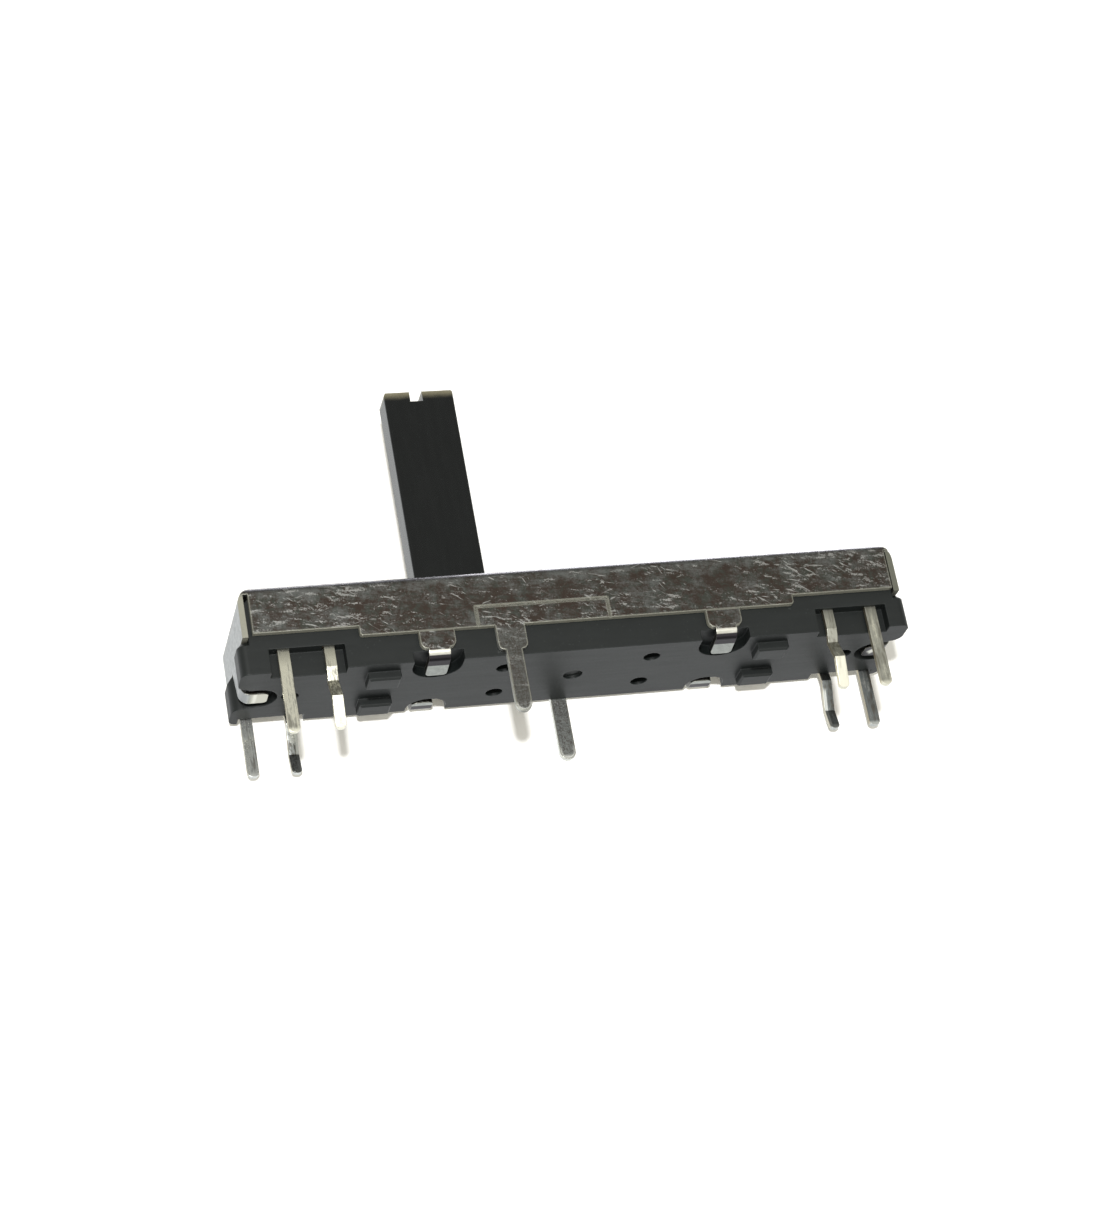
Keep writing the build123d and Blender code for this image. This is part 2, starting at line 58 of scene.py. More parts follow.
class Wire:
    """One output socket of a node tree, with arithmetic that adds Math nodes."""

    def __init__(self, graph: "Graph", socket: bpy.types.NodeSocket) -> None:
        """Keeps the socket and the graph that it belongs to."""
        self.graph = graph
        self.socket = socket

    def _math(self, operation: str, first: Value, second: Value = 0.0) -> "Wire":
        """Adds one Math node.

        Args:
            operation: The node's operation.
            first: Its first value.
            second: Its second value, if the operation has one.

        Returns:
            The node's result.
        """
        return self.graph.node("ShaderNodeMath", {"operation": operation}, {0: first, 1: second})

    def __add__(self, other: Value) -> "Wire":
        """This value and the other one, added."""
        return self._math("ADD", self, other)

    __radd__ = __add__

    def __sub__(self, other: Value) -> "Wire":
        """This value less the other one."""
        return self._math("SUBTRACT", self, other)

    def __rsub__(self, other: Value) -> "Wire":
        """The other value less this one."""
        return self._math("SUBTRACT", other, self)

    def __mul__(self, other: Value) -> "Wire":
        """This value times the other one."""
        return self._math("MULTIPLY", self, other)

    __rmul__ = __mul__

    def size(self) -> "Wire":
        """The value without its sign."""
        return self._math("ABSOLUTE", self)

    def least(self, other: Value) -> "Wire":
        """The smaller of two values."""
        return self._math("MINIMUM", self, other)

    def most(self, other: Value) -> "Wire":
        """The larger of two values."""
        return self._math("MAXIMUM", self, other)

    def rise(self, low: float, high: float) -> "Wire":
        """A soft step of this value.

        Args:
            low: Where the step starts, at 0.
            high: Where it ends, at 1; below low for a step down.

        Returns:
            A mask between 0 and 1.
        """
        if low > high:
            return 1.0 - self.rise(high, low)
        return self.graph.node(
            "ShaderNodeMapRange",
            {"interpolation_type": "SMOOTHSTEP"},
            {"Value": self, "From Min": low, "From Max": high},
        )


class Graph:
    """A material's or world's node tree, written as expressions."""

    def __init__(self, tree: bpy.types.NodeTree) -> None:
        """Takes a tree and empties it."""
        self.tree = tree
        tree.nodes.clear()

    def node(
        self,
        kind: str,
        settings: Optional[dict[str, object]] = None,
        sockets: Optional[dict[Union[str, int], Value]] = None,
        out: Union[str, int] = 0,
    ) -> Wire:
        """Adds one node.

        Args:
            kind: The node's type.
            settings: Its properties, set before its sockets.
            sockets: A value or a link for each input, by name or number.
            out: The output that is handed back.

        Returns:
            The chosen output, or the first input's wire for an output node.
        """
        made = self.tree.nodes.new(kind)
        for name, setting in (settings or {}).items():
            setattr(made, name, setting)
        for name, value in (sockets or {}).items():
            if isinstance(value, Wire):
                self.tree.links.new(value.socket, made.inputs[name])
            elif isinstance(value, tuple) and len(made.inputs[name].default_value) == 4:
                made.inputs[name].default_value = (*value, 1.0)
            else:
                made.inputs[name].default_value = value
        return Wire(self, made.outputs[out] if made.outputs else made.inputs[0])

    def place(self) -> Wire:
        """The point on the surface, in millimetres of the part's frame."""
        point = self.node("ShaderNodeTexCoord", out="Object")
        return self.node(
            "ShaderNodeVectorMath", {"operation": "SCALE"}, {0: point, "Scale": 1.0 / MM}
        )

    def along(self, vector: Wire) -> tuple[Wire, Wire, Wire]:
        """Splits a vector.

        Args:
            vector: The vector.

        Returns:
            Its x, y and z.
        """
        node = self.node("ShaderNodeSeparateXYZ", None, {0: vector}).socket.node
        return tuple(Wire(self, node.outputs[i]) for i in range(3))

    def facing(self) -> tuple[Wire, Wire, Wire]:
        """The way the surface faces in the part's frame, as x, y and z."""
        return self.along(self.node("ShaderNodeNewGeometry", out="True Normal"))

    def noise(
        self,
        point: Wire,
        scale: float,
        detail: float = 3.0,
        rough: float = 0.55,
        warp: float = 0.0,
    ) -> Wire:
        """Cloudy noise.

        Args:
            point: Where it is read.
            scale: Its features to the millimetre.
            detail: How many finer octaves it has.
            rough: How strong those are.
            warp: How far it is drawn into swirls.

        Returns:
            Noise round 0.5.
        """
        return self.node(
            "ShaderNodeTexNoise",
            None,
            {
                "Vector": point, "Scale": scale, "Detail": detail,
                "Roughness": rough, "Distortion": warp,
            },
        )

    def turned(self, point: Wire, angles: Triple, stretch: Triple) -> Wire:
        """Turns a point and then stretches it along its new axes.

        Args:
            point: The point.
            angles: Turn about x, y and z, in degrees.
            stretch: Scale along x, y and z.

        Returns:
            The new point.
        """
        spun = self.node(
            "ShaderNodeMapping", None,
            {"Vector": point, "Rotation": tuple(math.radians(a) for a in angles)},
        )
        return self.node("ShaderNodeMapping", None, {"Vector": spun, "Scale": stretch})

    def blend(self, factor: Value, first: Value, second: Value) -> Wire:
        """Mixes two colours, by the numbers of the Mix node's colour sockets.

        Args:
            factor: 0 for the first colour, 1 for the second.
            first: The first colour.
            second: The second colour.

        Returns:
            The mixed colour.
        """
        return self.node(
            "ShaderNodeMix", {"data_type": "RGBA"}, {0: factor, 6: first, 7: second}, out=2
        )

    def rim(self, radius: float, low: float, high: float) -> Wire:
        """Finds edges of the solid.

        Args:
            radius: Reach round an edge, in millimetres.
            low: How far the normal leans where the mask starts.
            high: How far it leans where the mask is full.

        Returns:
            A mask that is 1 on the edges.
        """
        eased = self.node("ShaderNodeBevel", {"samples": EASE_SAMPLES}, {"Radius": radius * MM})
        true = self.node("ShaderNodeNewGeometry", out="True Normal")
        lean = self.node(
            "ShaderNodeVectorMath", {"operation": "DOT_PRODUCT"}, {0: eased, 1: true}, out="Value"
        )
        return (1.0 - lean).rise(low, high)

    def bump(self, height: Wire, depth: float, edge: float) -> Wire:
        """Relief on softened edges.

        Args:
            height: Height between 0 and 1.
            depth: What a height of 1 stands for, in millimetres.
            edge: Radius that the solid's edges look eased to, in millimetres.

        Returns:
            The surface's normal.
        """
        eased = self.node("ShaderNodeBevel", {"samples": EASE_SAMPLES}, {"Radius": edge * MM})
        return self.node(
            "ShaderNodeBump", None,
            {"Strength": 1.0, "Distance": depth * MM, "Height": height, "Normal": eased},
        )


def new_material(name: str) -> tuple[bpy.types.Material, Graph]:
    """Makes an empty material.

    Args:
        name: Its name.

    Returns:
        The material and its graph.
    """
    material = bpy.data.materials.new(name)
    material.use_nodes = True
    return material, Graph(material.node_tree)


def finish_surface(graph: Graph, sockets: dict[str, Value]) -> None:
    """Ends a material in one Principled shader.

    Args:
        graph: The material's graph.
        sockets: The shader's sockets.
    """
    shader = graph.node("ShaderNodeBsdfPrincipled", None, sockets)
    graph.node("ShaderNodeOutputMaterial", None, {"Surface": shader})


# ---------------------------------------------------------------- finishes


@dataclass(frozen=True)
class PlateNoise:
    """The noises that all faces of the plate share."""

    cloud: Wire
    grain: Wire
    speck: Wire
    smear: Wire
    dabs: Wire


@dataclass(frozen=True)
class TinPlate:
    """Tin-plated steel sheet: brown and olive blotches, scuffs, bare bright edges.

    Places are in millimetres of the part's frame. A pair is a soft step, with the place
    where it starts and the place where it is full. bend_dark and bend_flat are measured
    inwards from the wall's outer face. The levels are those of the noises, round 0.5.
    """

    name: str = "tinned_steel_sheet"
    brown: Colour = (0.063, 0.048, 0.040)
    olive: Colour = (0.070, 0.073, 0.063)
    grey: Colour = (0.175, 0.183, 0.178)
    scuffed: Colour = (0.42, 0.42, 0.405)
    edge: Colour = (0.37, 0.37, 0.32)
    sheared: Colour = (0.275, 0.27, 0.22)
    stained: Colour = (0.120, 0.122, 0.095)
    bend_shade: Colour = (0.060, 0.058, 0.075)
    solder: Colour = (0.140, 0.145, 0.138)
    lit_rear_solder: Colour = (0.27, 0.285, 0.275)
    tip: Colour = (0.86, 0.87, 0.83)
    clean: Colour = (0.385, 0.40, 0.375)
    # painted_highlight: colour of painted highlights; on the clinch bends it also stands for the
    # brighter stretched tin
    painted_highlight: Colour = (0.80, 0.79, 0.71)
    bent_shade: Colour = (0.040, 0.036, 0.041)
    curl: Colour = (0.30, 0.31, 0.31)
    curl_tip: Colour = (0.56, 0.55, 0.47)
    flap_dull: Colour = (0.25, 0.26, 0.26)
    flap_bright: Colour = (0.44, 0.45, 0.45)
    brown_level: Range = (0.41, 0.54)
    grey_level: Range = (0.46, 0.62)
    scuff_level: Range = (0.575, 0.660)
    many_scratches: float = 0.735
    few_scratches: float = 0.765
    solder_level: Range = (0.40, 0.58)
    folded_level: Range = (0.36, 0.64)
    flap_level: Range = (0.34, 0.66)
    half_length: float = 22.75
    half_width: float = 4.5
    sheet: float = 0.4
    top_z: float = 6.7
    wall_z: float = 2.63
    handled_x: Range = (8.0, 17.0)
    coined_x: Range = (7.0, 6.6)
    coined_z: Range = (4.3, 3.9)
    clinch_x: float = 9.9
    clinch_reach: float = 1.3
    lug_z: float = 2.55
    lug_reach_x: float = 7.0
    lug_end_z: Range = (-3.45, -3.8)
    lug_rim_z: Range = (-2.8, -3.2)
    lug_rim: float = 0.34
    fold_z: float = 1.34
    fold_low_z: float = 0.5
    bend_dark: Range = (0.12, 0.17)
    bend_flat: Range = (1.12, 1.18)
    flap_lugs_x: Range = (18.0, 18.2)
    right_x: Range = (20.0, 20.2)
    stained_x: Range = (22.0, 22.2)
    curl_x: float = 21.78
    glint_x: float = 21.45
    rim: float = 0.18
    relief: float = 0.009
    ease: float = 0.05
    skin: float = 0.02

    def noises(self, graph: Graph, point: Wire) -> PlateNoise:
        """Builds the shared noises.

        Args:
            graph: The material's graph.
            point: The surface point in millimetres.

        Returns:
            The noises.
        """
        return PlateNoise(
            cloud=graph.noise(point, 0.62, 5.0, 0.66, 0.5),
            grain=graph.noise(point, 4.0, 5.0, 0.75),
            speck=graph.noise(point, 8.5, 3.0, 0.72),
            smear=graph.noise(graph.turned(point, (0, -5, 0), (0.9, 3.2, 3.2)), 1.0, 6.0, 0.78),
            dabs=graph.noise(point, 2.2, 5.0, 0.72),
        )

    def scratches(self, graph: Graph, point: Wire) -> Wire:
        """Short fine scratches that lie in four directions.

        Args:
            graph: The material's graph.
            point: The surface point in millimetres.

        Returns:
            A mask that is 1 in a scratch.
        """
        slender = (1.0, 6.0, 7.5)
        many, few = self.many_scratches, self.few_scratches
        total: Optional[Wire] = None
        for turn, low, seed in (
            (-38.0, many, 1.7), (-12.0, many, 8.3), (20.0, few, 4.9), (-64.0, few, 6.1)
        ):
            lines = graph.turned(point, (0.0, turn, 0.0), slender)
            shifted = graph.node(
                "ShaderNodeVectorMath", {"operation": "ADD"}, {0: lines, 1: (seed,) * 3}
            )
            streak = graph.noise(shifted, 1.0, 0.0, 0.4, 0.7).rise(low, low + 0.06)
            total = streak if total is None else total.most(streak)
        return total * graph.noise(point, 0.5, 2.0).rise(0.46, 0.60)

    def worn_face(self, graph: Graph, point: Wire, noise: PlateNoise) -> tuple[Wire, Wire]:
        """Colours the flat sheet.

        Args:
            graph: The material's graph.
            point: The surface point in millimetres.
            noise: The shared noises.

        Returns:
            The colour, and a mask that is 1 where the tin is rubbed.
        """
        x, _, z = graph.along(point)
        patches = graph.noise(point, 1.5, 4.0, 0.7, 0.6) * 0.6 + noise.grain * 0.4
        brownness = patches.rise(*self.brown_level)
        top = z.rise(self.top_z - 1.4, self.top_z - 0.4) * 0.05
        mixed = noise.cloud * 0.36 + noise.smear * 0.30 + noise.grain * 0.20 + noise.speck * 0.14
        greyness = (mixed + top).rise(*self.grey_level)
        dashes = graph.noise(graph.turned(point, (0, -8, 0), (0.9, 3.0, 3.6)), 1.0, 4.0, 0.7, 0.4)
        handled = x.size().rise(*self.handled_x) * 0.045
        coined = z.rise(*self.coined_z) * x.size().rise(*self.coined_x) * 0.035
        rubs = dashes * 0.7 + noise.speck * 0.3 + handled + coined
        scuffs = rubs.rise(*self.scuff_level)
        scratch = self.scratches(graph, point)
        colour = graph.blend(brownness, self.olive, self.brown)
        colour = graph.blend(greyness * 0.8, colour, self.grey)
        colour = graph.blend((scuffs * 0.72).most(scratch * 0.7), colour, self.scuffed)
        return colour, scuffs.most(scratch)

    def cut_faces(self, graph: Graph, point: Wire) -> Wire:
        """Finds the sheared faces of the sheet.

        Args:
            graph: The material's graph.
            point: The surface point in millimetres.

        Returns:
            A mask that is 1 on the sheet's cut edges.
        """
        x, y, z = graph.along(point)
        facing_x, facing_y, facing_z = graph.facing()
        across = (0.5, 0.2)
        wall_y = self.half_width - self.sheet
        flap_x = self.half_length - self.sheet
        under_z = self.top_z - self.sheet
        below_fold = z.rise(self.top_z - 0.55, self.top_z - 0.65)
        in_wall = y.size().rise(wall_y - self.skin, wall_y)
        in_flap = x.size().rise(flap_x - self.skin, flap_x)
        in_top = z.rise(under_z - self.skin, under_z)
        above = z.rise(self.fold_low_z, self.fold_low_z + self.ease)
        bend = above * z.rise(self.fold_z + self.ease, self.fold_z)
        wall_cut = in_wall * facing_y.size().rise(*across) * (1.0 - in_flap)
        flap_cut = in_flap * facing_x.size().rise(*across)
        inner = y.size().rise(self.half_width - 0.8, self.half_width - 0.9)
        top_cut = in_top * facing_z.size().rise(*across) * inner
        return ((wall_cut + flap_cut) * below_fold * (1.0 - bend)).most(top_cut)

    def dipped(self, graph: Graph, point: Wire, noise: PlateNoise) -> tuple[Wire, Wire]:
        """Colours the solder lugs, which were dipped in solder.

        Args:
            graph: The material's graph.
            point: The surface point in millimetres.
            noise: The shared noises.

        Returns:
            The colour, and how far it covers the sheet.
        """
        x, y, z = graph.along(point)
        facing_x, _, _ = graph.facing()
        rear = y.rise(0.0, 0.1)
        # The rear lug's solder is a lighter copy of the front one's: painted light.
        tone = graph.blend(rear, self.solder, self.lit_rear_solder)
        shade = (noise.dabs * 0.4 + noise.speck * 0.6).rise(*self.solder_level)
        tone = graph.blend((1.0 - shade) * 0.68, tone, self.brown)
        bright_rim = graph.rim(self.lug_rim, 0.004, 0.035) * z.rise(*self.lug_rim_z)
        end = (z.rise(*self.lug_end_z) * rear).most(bright_rim)
        tone = graph.blend(facing_x.size().rise(0.2, 0.8).most(end), tone, self.tip)
        level = z + (noise.cloud - 0.5) * 0.8
        middle = x.size().rise(self.lug_reach_x + 0.2, self.lug_reach_x)
        covered = level.rise(self.lug_z - 0.02, self.lug_z - 0.22)
        return tone, covered * middle * (0.72 + rear * 0.2)

    def folded(self, graph: Graph, point: Wire, noise: PlateNoise) -> tuple[Wire, Wire]:
        """Colours the lugs that are folded under the base.

        Args:
            graph: The material's graph.
            point: The surface point in millimetres.
            noise: The shared noises.

        Returns:
            The colour, and a mask that is 1 on those lugs.
        """
        x, y, z = graph.along(point)
        _, _, facing_z = graph.facing()
        shade = (noise.dabs * 0.6 + noise.speck * 0.4).rise(*self.folded_level)
        flat = graph.blend(shade, tuple(c * 0.72 for c in self.clean), self.clean)
        inward = self.half_width - y.size()
        # Clinch lugs: the bend is painted bright (painted highlight, with the stretched tin
        # there), then a dark band of painted shade (bent_shade), then the flat.
        clinch = graph.blend(inward.rise(*self.bend_dark), self.painted_highlight, self.bent_shade)
        clinch = graph.blend(inward.rise(*self.bend_flat), clinch, flat)
        reach = x.size()
        # The left flap's curled lug is painted darker near the flap, as painted shade, and beige
        # towards its end; glint is a painted highlight across it.
        end = reach.rise(self.curl_x + 0.5, self.curl_x + 0.1)
        curl = graph.blend(end, self.curl, self.curl_tip)
        glint = (reach - self.curl_x).size().rise(0.20, 0.03)
        curl = graph.blend(glint * 0.8, curl, self.painted_highlight)
        # The right flap's lug, down in its pocket, is painted dark as painted shade, with one
        # painted highlight spot.
        highlight_spot = ((x - self.glint_x).size() + y.size() * 0.8).rise(0.45, 0.15)
        pocket_shade_and_highlight = graph.blend(highlight_spot * 0.85, self.bent_shade, self.painted_highlight)
        curl = graph.blend(x.rise(*self.right_x), curl, pocket_shade_and_highlight)
        tone = graph.blend(reach.rise(*self.flap_lugs_x), clinch, curl)
        below = z.rise(self.fold_z, self.fold_z - self.ease)
        outside = reach.rise(self.lug_reach_x, self.lug_reach_x + 0.2)
        return tone, (-1.0 * facing_z).rise(0.08, 0.30) * below * outside

    def material(self) -> bpy.types.Material:
        """Builds the finish.

        Returns:
            The material.
        """
        material, graph = new_material(self.name)
        point = graph.place()
        x, _, z = graph.along(point)
        facing_x, _, facing_z = graph.facing()
        noise = self.noises(graph, point)
        colour, rubbed = self.worn_face(graph, point, noise)
        # The top fold's bend facets are painted darker and bluish: painted shade, a dark
        # reflection.
        rolled = facing_z.rise(0.15, 0.45) * facing_z.rise(0.985, 0.93)
        colour = graph.blend(rolled * 0.7, colour, self.bend_shade)
        solder, dip = self.dipped(graph, point, noise)
        colour = graph.blend(dip, colour, solder)
        root = (z - self.wall_z).size().rise(0.10, 0.04)
        in_tab = (x.size() - self.clinch_x).size().rise(self.clinch_reach, self.clinch_reach - 0.1)
        rim = graph.rim(self.rim, 0.008, 0.06).most(root * in_tab * 0.7)
        worn_rim = rim * (0.55 + noise.grain.rise(0.30, 0.52) * 0.45)
        colour = graph.blend(worn_rim, colour, self.edge)
        cut = self.cut_faces(graph, point)
        sheared = graph.blend(x.rise(*self.stained_x), self.sheared, self.stained)
        bare = cut * (1.0 - dip)
        colour = graph.blend(bare * (0.70 + noise.grain * 0.5).least(1.0), colour, sheared)
        on_end = (x.size() - self.half_length).size().rise(0.06, 0.03)
        outer = facing_x.size().rise(0.8, 0.95) * on_end
        mottled = (noise.smear * 0.5 + noise.dabs * 0.5).rise(*self.flap_level)
        flap = graph.blend(mottled, self.flap_dull, self.flap_bright)
        colour = graph.blend(outer * z.rise(self.top_z - 0.9, self.top_z - 1.1), colour, flap)
        folded, lugs = self.folded(graph, point, noise)
        colour = graph.blend(lugs, colour, folded)
        rough = 0.34 + rubbed * 0.06 + noise.grain * 0.14 - worn_rim * 0.04 - lugs * 0.06
        relief = noise.grain * 0.5 + noise.cloud * 0.4 - rubbed * 0.3
        finish_surface(graph, {
            "Base Color": colour, "Metallic": 1.0 - bare * 0.55,
            "Roughness": rough + cut * 0.12,
            "Normal": graph.bump(relief, self.relief, self.ease),
        })
        return material


@dataclass(frozen=True)
class BrightTin:
    """Tinned brass of the terminals: pale, dabbed on by dipping, warm at cut edges.

    Places are in millimetres of the part's frame. A pair is a soft step, with the place
    where it starts and the place where it is full. The levels are those of the noises,
    round 0.5.
    """

    name: str = "tinned_brass_strip"
    pale: Colour = (0.86, 0.84, 0.71)
    dull: Colour = (0.36, 0.36, 0.31)
    dark: Colour = (0.12, 0.105, 0.085)
    warm: Colour = (0.60, 0.52, 0.34)
    streaked: float = 0.55
    dull_level: Range = (0.44, 0.60)
    streak_level: Range = (0.50, 0.60)
    root_shade_z: Range = (0.9, 2.2)
    highlight_z: Range = (-0.4, -0.8)
    tip_z: Range = (-3.1, -3.4)
    inner_x: float = 18.8
    kink_z: float = -1.35
    pivot_z: float = -3.5
    lean: float = 8.0
    relief: float = 0.02
    ease: float = 0.05

    def material(self) -> bpy.types.Material:
        """Builds the finish.

        Returns:
            The material.
        """
        material, graph = new_material(self.name)
        point = graph.place()
        x, y, z = graph.along(point)
        facing_x, _, _ = graph.facing()
        dabs = graph.noise(graph.turned(point, UNTURNED, (1.2, 1.2, 0.5)), 1.0, 3.0, 0.6)
        grain = graph.noise(point, 6.0, 4.0, 0.7)
        drag = graph.noise(graph.turned(point, UNTURNED, (6.0, 6.0, 0.5)), 1.0, 3.0, 0.6)
        mixed = dabs * 0.50 + grain * 0.15 + drag * 0.35 + x.rise(0.0, 1.0) * 0.10
        dulled = mixed.rise(*self.dull_level)
        inner = x.size().rise(self.inner_x + 0.1, self.inner_x)
        # Painted highlight: the inner front legs below the kink and the middle of the inner rear
        # legs are painted paler, with fewer dark streaks. The tips are paler too.
        below = z.rise(self.kink_z + 0.05, self.kink_z) * inner * y.rise(0.1, -0.1)
        smooth = z.rise(*self.highlight_z) * inner * y.rise(-0.1, 0.1)
        bare = below.most(z.rise(*self.tip_z)).most(smooth)
        lines = (drag * 0.6 + dabs * 0.4).rise(*self.streak_level)
        streak = lines * self.streaked * (1.0 - bare)
        # Painted shade: the legs darken towards their roots in the base's recesses.
        root = z.rise(*self.root_shade_z) * 0.55
        colour = graph.blend(dulled * (1.0 - bare * 0.8), self.pale, self.dull)
        colour = graph.blend(streak, colour, self.dark)
        colour = graph.blend(root, colour, tuple(c * 0.5 for c in self.dull))
        cut = facing_x.size().rise(0.75, 0.95)
        colour = graph.blend(cut * 0.5, colour, self.warm)
        rough = 0.24 + dulled * 0.16 + grain * 0.06
        leaning = (z - self.pivot_z) * below * self.lean
        relief = (dabs * 0.5 + drag * 0.3) * (1.0 - smooth * 0.9) + grain * 0.1 + leaning
        finish_surface(graph, {
            "Base Color": colour, "Metallic": 1.0, "Roughness": rough,
            "Normal": graph.bump(relief, self.relief, self.ease),
        })
        return material


@dataclass(frozen=True)
class BlackMoulding:
    """Black moulded plastic with fine grain, dusty specks and rubbed edges.

    Where highlight_and_dust_z is given, the sides are painted warm between those two heights, in
    millimetres of the part's frame: a painted highlight with rubbed dust in it. The faces that
    look up stay black.
    """

    name: str
    tone: Colour
    rubbed: Colour
    gloss: float
    grain_depth: float
    flow: Triple = (0.25, 2.2, 2.2)
    # warm: colour of the painted highlight, with rubbed dust, near the top of the sides
    warm: Colour = (0.21, 0.19, 0.125)
    highlight_and_dust_z: Optional[Range] = None
    refraction: float = 1.42
    ease: float = 0.09

    def material(self) -> bpy.types.Material:
        """Builds the finish.

        Returns:
            The material.
        """
        material, graph = new_material(self.name)
        point = graph.place()
        grain = graph.noise(point, 14.0, 3.0, 0.6)
        cloud = graph.noise(point, 0.8, 4.0, 0.6)
        flow = graph.noise(graph.turned(point, UNTURNED, self.flow), 1.0, 3.0, 0.55)
        specks = graph.noise(point, 7.0, 1.0, 0.4).rise(0.735, 0.78)
        rim = graph.rim(self.ease, 0.04, 0.22) * cloud.rise(0.3, 0.6)
        worn = (cloud * 0.6 + flow * 0.4).rise(0.35, 0.7) * 0.5
        colour = graph.blend(worn, self.tone, self.rubbed)
        colour = graph.blend(rim * 0.5 + specks * 0.6, colour, tuple(c * 2.6 for c in self.rubbed))
        if self.highlight_and_dust_z:
            _, _, z = graph.along(point)
            _, _, facing_z = graph.facing()
            # Painted highlight with rubbed dust: the sides turn warm near the top.
            top = (z + (cloud - 0.5) * 0.4).rise(*self.highlight_and_dust_z)
            colour = graph.blend(top * (0.85 - facing_z.rise(0.3, 0.9) * 0.80), colour, self.warm)
        rough = self.gloss + grain * 0.14 + flow * 0.10 - rim * 0.08
        relief = grain * 0.5 + flow * 0.5 + specks * 0.4
        finish_surface(graph, {
            "Base Color": colour, "Metallic": 0.0, "Roughness": rough, "IOR": self.refraction,
            "Normal": graph.bump(relief, self.grain_depth, self.ease),
        })
        return material


@dataclass(frozen=True)
class PhenolicPaper:
    """Brown laminated paper of the element boards, with printed tracks and pads.

    Places are in millimetres of the part's frame: the face that carries the tracks, half
    their length, and the lower and upper edge of each.
    """

    name: str
    side: int
    inner_y: float
    track_half: float = 16.2
    low_track: Range = (3.15, 3.95)
    high_track: Range = (4.55, 5.85)
    pad: float = 0.9
    brown: Colour = (0.30, 0.155, 0.062)
    fibre: Colour = (0.42, 0.25, 0.115)
    carbon: Colour = (0.022, 0.021, 0.021)
    silver: Colour = (0.56, 0.55, 0.51)
    relief: float = 0.01
    ease: float = 0.04

    def material(self) -> bpy.types.Material:
        """Builds the finish.

        Returns:
            The material.
        """
        material, graph = new_material(self.name)
        point = graph.place()
        x, y, z = graph.along(point)
        fibres = graph.noise(graph.turned(point, (0, 8, 0), (0.8, 5.0, 5.0)), 1.0, 5.0, 0.7)
        specks = graph.noise(point, 3.0, 4.0, 0.7).rise(0.56, 0.66)
        inward = (y * self.side).rise(self.inner_y + 0.012, self.inner_y + 0.004)
        bands = [
            z.rise(low - 0.04, low + 0.01) * z.rise(high + 0.04, high - 0.01)
            for low, high in (self.low_track, self.high_track)
        ]
        pad_x = self.track_half - self.pad
        ends = x.size().rise(pad_x - 0.05, pad_x)
        printed = (bands[0] + bands[1]) * inward
        colour = graph.blend(fibres.rise(0.35, 0.7), self.brown, self.fibre)
        colour = graph.blend(specks * 0.5, colour, tuple(c * 0.55 for c in self.brown))
        colour = graph.blend(printed, colour, self.carbon)
        colour = graph.blend(printed * ends, colour, self.silver)
        rough = 0.50 + fibres * 0.15 - printed * 0.12
        finish_surface(graph, {
            "Base Color": colour, "Metallic": printed * ends * 0.8, "Roughness": rough,
            "Normal": graph.bump(fibres, self.relief, self.ease),
        })
        return material


@dataclass(frozen=True)
class RolledStrip:
    """Cold-rolled spring strip with its rolling lines along the travel."""

    name: str
    tone: Colour
    stained: Colour
    gloss: float
    relief: float = 0.004
    ease: float = 0.03

    def material(self) -> bpy.types.Material:
        """Builds the finish.

        Returns:
            The material.
        """
        material, graph = new_material(self.name)
        point = graph.place()
        lines = graph.noise(graph.turned(point, UNTURNED, (0.5, 26.0, 26.0)), 1.0, 3.0, 0.6)
        stain = graph.noise(point, 1.1, 4.0, 0.6).rise(0.48, 0.68)
        rim = graph.rim(0.04, 0.05, 0.3)
        colour = graph.blend(stain * 0.6, self.tone, self.stained)
        colour = graph.blend(rim * 0.4, colour, tuple(min(1.0, c * 1.25) for c in self.tone))
        finish_surface(graph, {
            "Base Color": colour, "Metallic": 1.0,
            "Roughness": self.gloss + lines * 0.12 + stain * 0.1,
            "Normal": graph.bump(lines, self.relief, self.ease),
        })
        return material


@dataclass(frozen=True)
class OneSidedWhite:
    """White table paper that is seen from its front only."""

    name: str
    tone: Colour = (0.93, 0.925, 0.91)
    glow: Colour = (0.11, 0.10, 0.075)

    def material(self) -> bpy.types.Material:
        """Builds the finish.

        Returns:
            The material.
        """
        material, graph = new_material(self.name)
        point = graph.place()
        fibres = graph.noise(point, 0.6, 3.0)
        tone = graph.blend(fibres * 0.3, self.tone, tuple(c * 0.985 for c in self.tone))
        paper = graph.node("ShaderNodeBsdfDiffuse", None, {"Color": tone})
        glow = graph.node("ShaderNodeEmission", None, {"Color": self.glow, "Strength": 1.0})
        paper = graph.node("ShaderNodeAddShader", None, {0: paper, 1: glow})
        clear = graph.node("ShaderNodeBsdfTransparent")
        behind = graph.node("ShaderNodeNewGeometry", out="Backfacing")
        shown = graph.node("ShaderNodeMixShader", None, {0: behind, 1: paper, 2: clear})
        graph.node("ShaderNodeOutputMaterial", None, {"Surface": shown})
        return material


# ---------------------------------------------------------------- hand tools


